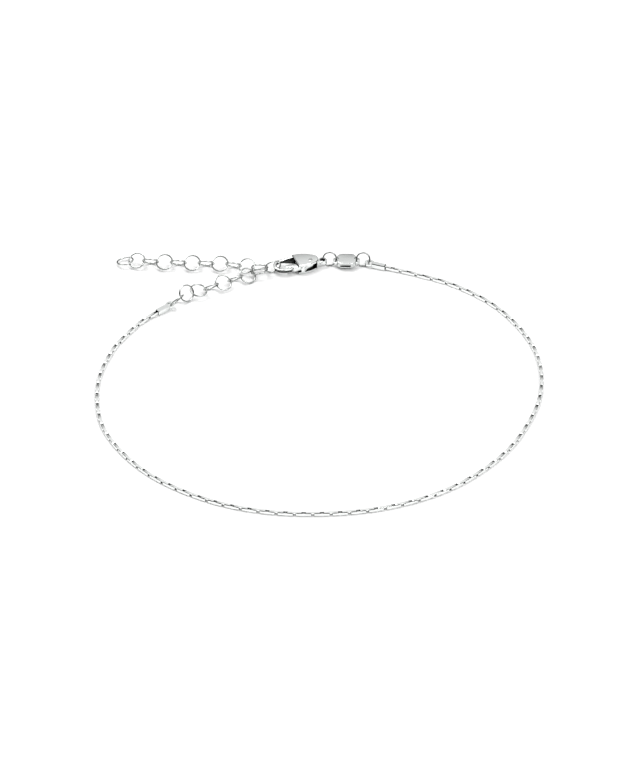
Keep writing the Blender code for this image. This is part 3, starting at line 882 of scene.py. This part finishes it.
@dataclass
class TagPlate(Piece):
    """The bare tag plate: a thick middle with soft edges, and a thin holed lug at each end."""

    length: float = 3.6 * MM
    depth: float = 3.5 * MM
    thick: float = 1.0 * MM
    corner: float = 1.15 * MM
    slot: Point3 = (1.95 * MM, 0.3 * MM, 0.52 * MM)
    slot_left: float = 0.2 * MM
    slot_shade: float = 0.3
    edge: float = 0.16 * MM
    edge_steps: int = 4
    lug_reach: float = 0.68 * MM
    lug_depth: float = 1.7 * MM
    lug_thick: float = 0.32 * MM
    lug_corner: float = 0.51 * MM
    lug_edge: float = 0.05 * MM
    lug_steps: int = 2
    hole_length: float = 0.84 * MM
    hole_depth: float = 1.2 * MM
    hole_place: float = 0.05 * MM
    corner_sides: int = 48
    slack: float = 0.01 * MM

    def outline(self, length: float, depth: float, corner: float) -> list[Point2]:
        """Give a rectangle with rounded corners.

        Args:
            length: Its size along x.
            depth: Its size along y.
            corner: Radius of its corners.

        Returns:
            The outline, counter-clockwise.
        """
        x, y = length / 2 - corner, depth / 2 - corner
        spots = [((x, y), 0), ((-x, y), 90), ((-x, -y), 180), ((x, -y), 270)]
        return [point for spot, start in spots for point in arc(spot, corner, start, start + 90, self.corner_sides)]

    def build(self) -> Object:
        """Build the plate.

        Returns:
            The piece.
        """
        half = self.thick / 2
        body = Bench.prism(self.outline(self.length, self.depth, self.corner), -half, half, self.edge, self.edge_steps)
        lugs = Bench.prism(self.outline(self.length + 2 * self.lug_reach, self.lug_depth, self.lug_corner),
                           -self.lug_thick / 2, self.lug_thick / 2, self.lug_edge, self.lug_steps)
        wide, deep, tall = self.slot
        near = -self.depth / 2
        slot = Bench.block((-self.slot_left - wide / 2, near - deep, -tall / 2),
                           (-self.slot_left + wide / 2, near + deep, tall / 2))
        steps = [(Cut.REMOVE, slot), (Cut.JOIN, lugs)]
        for sign in (-1, 1):
            hole = Bench.barrel(self.hole_length, self.thick * 2)
            hole.transform(Matrix.Diagonal((1.0, self.hole_depth / self.hole_length, 1.0, 1.0)))
            hole.transform(Matrix.Translation((sign * (self.length / 2 + self.hole_place), 0.0, 0.0)))
            steps.append((Cut.REMOVE, hole))
        mesh = Bench.combine(body, steps)
        # Painted shade inside the slot: its faces are partly darkened towards the shade colour.
        Bench.paint_shade_marks(mesh, lambda spot, normal: near + self.slack < spot.y < near + deep + self.slack
                          and abs(spot.x) < wide and abs(spot.z) <= tall / 2 + self.slack, self.slot_shade)
        place = place_frame(self.layout.from_clasp_eye(*self.layout.plate), 0.0)
        return Bench.finish("tag_plate_body", mesh, place, self.finish.material(), Body.ANKLET, Slot.PLATE,
                            ["tag_plate"])


@dataclass
class Clasp(Piece):
    """The lobster clasp: hook and cheeks, lever and pin, in the frame of the hook's centre."""

    hook_outer: float = 1.95 * MM
    hook_width: float = 0.62 * MM
    hook_thick: float = 0.7 * MM
    tip_reach: float = 1.3 * MM
    thick: float = 2.0 * MM
    eye_reach: float = 7.4 * MM
    eye_outer: float = 1.8 * MM
    eye_hole: float = 1.1 * MM
    eye_thick: float = 0.6 * MM
    wall: float = 0.45 * MM
    cheek_length: float = 4.6 * MM
    cheek_width: float = 4.0 * MM
    cheek_start: float = 1.95 * MM
    cheek_slant: float = 0.5 * MM
    slot_depth: float = 2.8 * MM
    slot_end_wall: float = 0.4 * MM
    edge: float = 0.22 * MM
    edge_steps: int = 5
    hook_edge: float = 0.18 * MM
    eye_edge: float = 0.12 * MM
    eye_side: float = 7.5
    lever_edge: float = 0.12 * MM
    pin_edge: float = 0.05 * MM
    pin_edge_steps: int = 2
    crease: float = 38.0
    nose: float = 0.28
    spine_share: float = 0.6
    spine_start: float = -0.1 * MM
    cheek_shape: tuple[Point2, ...] = (
        (0.0, 1.0), (0.34, 1.04), (0.62, 0.90), (0.84, 0.62), (1.0, 0.34), (1.0, -0.34), (0.84, -0.62),
        (0.62, -0.88), (0.36, -1.0))
    cheek_round: float = 2.0 * MM
    cheek_corner: float = 0.15 * MM
    cheek_steps: int = 4
    play: float = 0.07 * MM
    tip_gap: float = 0.08 * MM
    step: float = 0.1 * MM
    lever_width: float = 0.8 * MM
    shoulder: float = 0.42 * MM
    nub_reach: float = 0.55 * MM
    nub_width: float = 0.9 * MM
    nub_place: float = 0.38
    pivot_back: float = 0.95 * MM
    pivot_side: float = -0.25
    boss: float = 0.6 * MM
    boss_sides: int = 36
    pin: float = 0.6 * MM
    pin_play: float = 0.04 * MM
    pin_inset: float = 0.03 * MM
    pin_sides: int = 36
    seam: float = 0.01 * MM
    wall_slope: float = 0.6

    @property
    def hook_inner(self) -> float:
        """Inner radius of the hook."""
        return self.hook_outer - self.hook_width

    @property
    def cheek_end(self) -> float:
        """Where the cheeks end."""
        return self.cheek_start + self.cheek_length

    def pivot(self) -> Point2:
        """Give the pivot's place."""
        return self.cheek_end - self.pivot_back - self.boss, self.hook_outer * self.pivot_side

    def hook(self) -> list[Point2]:
        """Give the hook's outline.

        Returns:
            The points in order.
        """
        outer, inner, tip = self.hook_outer, self.hook_inner, self.tip_reach
        nose = self.hook_width * self.nose
        spine_end = self.cheek_start + self.cheek_length * self.spine_share
        shape = [(spine_end, inner), (spine_end, outer)] + arc((0.0, 0.0), outer, 90, 270)
        shape += [(tip - nose, -outer), (tip, -outer + nose), (tip, -inner - nose), (tip - nose, -inner)]
        return shape + arc((0.0, 0.0), inner, 270, 90)

    def cheek(self) -> list[Point2]:
        """Give the cheeks' outline.

        Returns:
            The points in order.
        """
        half = self.cheek_width / 2
        shape = [*self.cheek_shape, (self.cheek_slant / self.cheek_length, -1.0)]
        corners = [(self.cheek_start + x * self.cheek_length, y * half) for x, y in reversed(shape)]
        radii = [self.cheek_corner, *[self.cheek_round] * (len(corners) - 2), self.cheek_corner]
        return rounded_corners(corners, radii, self.cheek_steps)

    def lever(self) -> list[Point2]:
        """Give the lever's outline.

        Returns:
            The points in order.
        """
        outer_edge = self.play - self.hook_inner
        inner_edge = outer_edge + self.lever_width
        start = self.tip_reach + self.tip_gap + self.play
        right = self.cheek_start + self.cheek_length * self.nub_place
        left = right - self.nub_width
        bottom = outer_edge - self.shoulder
        nub = bottom - self.nub_reach
        off = self.nub_width * 0.25
        shape = [(self.hook_width * 0.25, inner_edge - self.lever_width * 0.2), (self.step, outer_edge),
                 (start, outer_edge), (start + self.step, bottom), (left, bottom), (left + off * 0.6, nub),
                 (right - off, nub), (right, nub + off)]
        return shape + arc(self.pivot(), self.boss, -70, 90, self.boss_sides) + [(self.tip_reach, inner_edge)]

    def spine(self) -> Mesh:
        """Make the spine, which grows from the hook's thickness to nearly the cheeks'.

        Returns:
            The mesh of the spine.
        """
        thin, root = (self.thick - self.hook_thick) / 2 + 2 * self.seam, self.wall * 0.4
        start, full = self.spine_start, self.cheek_start + self.cheek_slant
        shape = [(start, thin), (full, root), (full + self.edge, root), (full + self.edge, self.thick - root),
                 (full, self.thick - root), (start, self.thick - thin)]
        mesh = Bench.prism(shape, self.seam - self.hook_outer, -self.hook_inner - self.seam, self.hook_edge)
        mesh.transform(Matrix.Rotation(pi / 2, 4, "X"))
        return mesh

    def painted_shade_mask(self, spot: Vector, normal: Vector) -> bool:
        """Tell the casting's faces that get painted shade.

        They are inside the hook, the eye and the slot, under the hook's arm and the spine, and at the cheeks' front,
        where the painted dark stands in for shade and dark reflections.

        Args:
            spot: Middle of a face.
            normal: Its normal.

        Returns:
            Whether the face gets painted shade.
        """
        steep = abs(normal.z) < self.wall_slope
        in_eye = steep and hypot(spot.x - self.eye_reach, spot.y) < self.eye_hole * 0.52
        inner, reach = self.hook_inner, hypot(spot.x, spot.y)
        inward = -(normal.x * spot.x + normal.y * spot.y) / max(reach, self.seam)
        in_hook = steep and reach < inner * 1.04 and inward > self.wall_slope and (
            spot.x < 0.0 and spot.y > -self.hook_width)
        # Painted shade under the hook's arm, where its lower edges reflect the shadow on the card.
        under_hook = -0.8 < normal.z < 0.05 and inward < 0.0 and (
            spot.x < self.tip_reach * 0.7 and spot.y < -self.hook_width)
        under_spine = steep and normal.y < -self.wall_slope and (
            spot.x > 0.0 and inner * 0.5 < spot.y < inner * 1.02)
        low, high = self.wall * 0.99, self.thick - self.wall * 0.99
        slot_end = self.cheek_end - self.slot_end_wall * 0.95
        in_slot = low < spot.z < high and self.cheek_start < spot.x < slot_end and abs(spot.y) < self.cheek_width * 0.4
        beyond = spot.x - self.cheek_start
        # Painted dark reflection on the cheeks' slanted front faces.
        front_edge = steep and normal.x < -self.wall_slope and (
            -self.step < beyond < 2 * self.cheek_slant and spot.y < self.cheek_width * 0.45)
        return in_eye or in_hook or under_hook or under_spine or in_slot or front_edge

    def build(self) -> list[Object]:
        """Build the clasp's body, lever and pin.

        Returns:
            The three pieces.
        """
        material = self.finish.material()
        place = self.layout.clasp()
        middle = self.thick / 2
        pivot = self.pivot()
        body = Bench.prism(self.cheek(), 0.0, self.thick, self.edge, self.edge_steps)
        half = self.hook_thick / 2
        band = Bench.prism(self.hook(), middle - half, middle + half, self.hook_edge)
        eye = (self.eye_reach, 0.0, middle)
        half = self.eye_thick / 2
        ring = Bench.prism(arc(eye[:2], self.eye_outer / 2, 0, 360 - self.eye_side, round(360 / self.eye_side)),
                           middle - half, middle + half, self.eye_edge)
        wide, tall = self.eye_outer * 0.31, self.eye_thick * 0.55
        neck = Bench.block((self.cheek_end - self.edge * 2, -wide, middle - tall),
                           (self.eye_reach - self.eye_hole * 0.4, wide, middle + tall))
        slot = Bench.block((self.cheek_start - self.edge, -self.cheek_width, self.wall),
                           (self.cheek_end - self.slot_end_wall, self.slot_depth - self.cheek_width / 2,
                            self.thick - self.wall))
        bore = (self.pin + 2 * self.pin_play, self.thick * 2, (*pivot, middle))
        casting = Bench.combine(body, [
            (Cut.JOIN, band), (Cut.JOIN, self.spine()), (Cut.JOIN, ring), (Cut.JOIN, neck),
            (Cut.REMOVE, Bench.barrel(self.eye_hole, self.thick, eye)), (Cut.REMOVE, slot),
            (Cut.REMOVE, Bench.barrel(*bore))])
        # Paint shade on the casting's hollows, the hook's underside and the cheeks' front.
        Bench.paint_shade_marks(casting, self.painted_shade_mask)
        low, high = self.wall + self.play, self.thick - self.wall - self.play
        arm = Bench.prism(self.lever(), low, high, self.lever_edge)
        arm = Bench.combine(arm, [(Cut.REMOVE, Bench.barrel(*bore))])
        turn = 360 / self.pin_sides
        pin = Bench.prism(arc(pivot, self.pin / 2, 0, 360 - turn, self.pin_sides), self.pin_inset,
                          self.thick - self.pin_inset, self.pin_edge, self.pin_edge_steps)
        return [
            Bench.finish("clasp_casting", casting, place, material, Body.ANKLET, Slot.CLASP, ["clasp_body"],
                         self.crease),
            Bench.finish("clasp_gate", arm, place, material, Body.LEVER, Slot.CLASP, ["clasp_lever"]),
            Bench.finish("clasp_rivet", pin, place, material, Body.ANKLET, Slot.CLASP, ["clasp_pin"])]


@dataclass
class EndCaps:
    """The end caps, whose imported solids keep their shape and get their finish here."""

    finish: PolishedMetal

    def build(self) -> None:
        """Dress both caps."""
        material = self.finish.material()
        for name in ("end_cap_left", "end_cap_right"):
            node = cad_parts[name]
            node.data.materials.clear()
            node.data.materials.append(material)
            LOG.info("%s: dressed", name)


@dataclass(frozen=True)
class Lamp:
    """A soft square lamp that shines on the middle of the card."""

    name: str
    place: Point3
    size: float
    power: float

    def hang(self) -> None:
        """Put the lamp in the scene."""
        light = bpy.data.lights.new(self.name, "AREA")
        light.energy = self.power
        light.size = self.size
        lamp = Bench.put(self.name, light)
        lamp.location = self.place
        lamp.rotation_euler = (-Vector(self.place)).to_track_quat("-Z", "Y").to_euler()


@dataclass
class Studio:
    """The pale card, the soft light and the camera.

    Elevations are in degrees, and the lens and sensor in millimetres. The tent's wall has its brightness by the sine
    of the height above the ground, and its opening by the cosine of the angle to the opening's middle.
    """

    layout: Layout
    elevation: float = 35.0
    distance: float = 722.7 * MM
    lens: float = 190.3
    sensor: float = 36.0
    clip: Point2 = (0.01, 20.0)
    card: float = 2.5
    sky: float = 1.0
    tent_wall: tuple[Point2, ...] = (
        (0.0, 0.02), (0.30, 0.06), (0.43, 0.60), (0.58, 0.86), (0.80, 1.0), (1.0, 1.15))
    opening: tuple[Point2, ...] = ((0.64, 1.0), (0.70, 0.02))
    opening_elevation: float = 38.0
    lamps: tuple[Lamp, ...] = (
        Lamp("key", (-0.3, 0.35, 0.8), 0.6, 4.4), Lamp("fill", (0.4, -0.35, 0.75), 0.6, 4.6))

    def floor(self) -> None:
        """Lay the card under the anklet."""
        bm = bmesh.new()
        bmesh.ops.create_grid(bm, x_segments=1, y_segments=1, size=self.card)
        mesh = Bench.solid("card", bm)
        mesh.materials.append(PaleCard().material())
        Bench.put("card", mesh)

    def world(self) -> None:
        """Surround the anklet with a white tent: dark near the ground and at the camera's opening."""
        world = bpy.data.worlds.new("tent")
        bpy.context.scene.world = world
        world.use_nodes = True
        graph = Graph(world.node_tree)
        light = world.node_tree.nodes["Background"]
        place = graph.node("ShaderNodeTexCoord").outputs["Object"]
        view = radians(self.opening_elevation)
        shades = []
        for direction, stops in (((0.0, 0.0, 1.0), self.tent_wall), ((0.0, -cos(view), sin(view)), self.opening)):
            facing = graph.node("ShaderNodeVectorMath", {0: place, 1: direction}, operation="DOT_PRODUCT")
            ramp = graph.node("ShaderNodeValToRGB", {"Fac": facing.outputs["Value"]})
            while len(ramp.color_ramp.elements) < len(stops):
                ramp.color_ramp.elements.new(0.5)
            for element, (position, shade) in zip(ramp.color_ramp.elements, stops):
                element.position = position
                element.color = (shade, shade, shade, 1.0)
            shades.append(ramp.outputs["Color"])
        graph.feed(light.inputs["Color"], graph.mixed(1.0, *shades, blend="MULTIPLY"))
        graph.feed(light.inputs["Strength"], self.sky)

    def camera(self) -> None:
        """Aim the camera as in the photograph."""
        data = bpy.data.cameras.new("camera")
        data.lens = self.lens
        data.sensor_width = self.sensor
        data.sensor_fit = "AUTO"
        data.clip_start, data.clip_end = self.clip
        camera = Bench.put("camera", data)
        view = radians(self.elevation)
        aim = self.layout.at(0.0, 0.0)
        camera.location = aim + Vector((0.0, -cos(view), sin(view))) * self.distance
        camera.rotation_euler = (aim - camera.location).to_track_quat("-Z", "Y").to_euler()
        bpy.context.scene.camera = camera

    def build(self) -> None:
        """Set up the studio."""
        self.floor()
        self.world()
        for lamp in self.lamps:
            lamp.hang()
        self.camera()
        bpy.context.scene.view_settings.view_transform = "Standard"
        LOG.info("studio: ready")


CHAIN_POLISH = PolishedMetal("chain_polish", (0.86, 0.875, 0.865), gloss=0.06, open_share=(0.30, 0.85))
# The extender links' and jump rings' tints are darkened to paint the dark reflections and shade on their wires.
SHADED_LINK_POLISH = PolishedMetal("link_polish_painted_shade", (0.52, 0.535, 0.525), gloss=0.04, shade_reach=0.8 * MM, open_share=(0.45, 0.95))
SHADED_RING_POLISH = PolishedMetal("ring_polish_painted_shade", (0.38, 0.39, 0.385), gloss=0.04)
CAP_POLISH = PolishedMetal("cap_polish", gloss=0.08)
CLASP_POLISH = PolishedMetal("clasp_polish", gloss=0.06, cloud=1.6 * MM, open_share=(0.10, 0.55))
PLATE_POLISH = PolishedMetal("plate_polish", (0.77, 0.79, 0.78), gloss=0.07, cloud=1.8 * MM, open_share=(0.10, 0.55))


def design_shift() -> Vector:
    """Read the move from the design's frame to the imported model's off the clasp's pin.

    Returns:
        The move.
    """
    low, high = (Vector(corner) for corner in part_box("clasp_pin"))
    rough = Layout()
    clasp = Clasp(rough, CLASP_POLISH)
    return (low + high) / 2 - rough.clasp() @ Vector((*clasp.pivot(), clasp.thick / 2))


def main() -> None:
    """Build the dressed anklet and its studio."""
    logging.basicConfig(level=logging.INFO, format="%(name)s %(message)s")
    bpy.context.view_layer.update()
    layout = Layout(shift=design_shift())
    LOG.info("shift %s mm", [round(v / MM, 3) for v in layout.shift])
    Studio(layout).build()
    FineChain(layout, CHAIN_POLISH).build()
    Extender(layout, SHADED_LINK_POLISH).build()
    JumpRings(layout, SHADED_RING_POLISH).build()
    EndCaps(CAP_POLISH).build()
    Clasp(layout, CLASP_POLISH).build()
    TagPlate(layout, PLATE_POLISH).build()


if __name__ == "__main__":
    main()
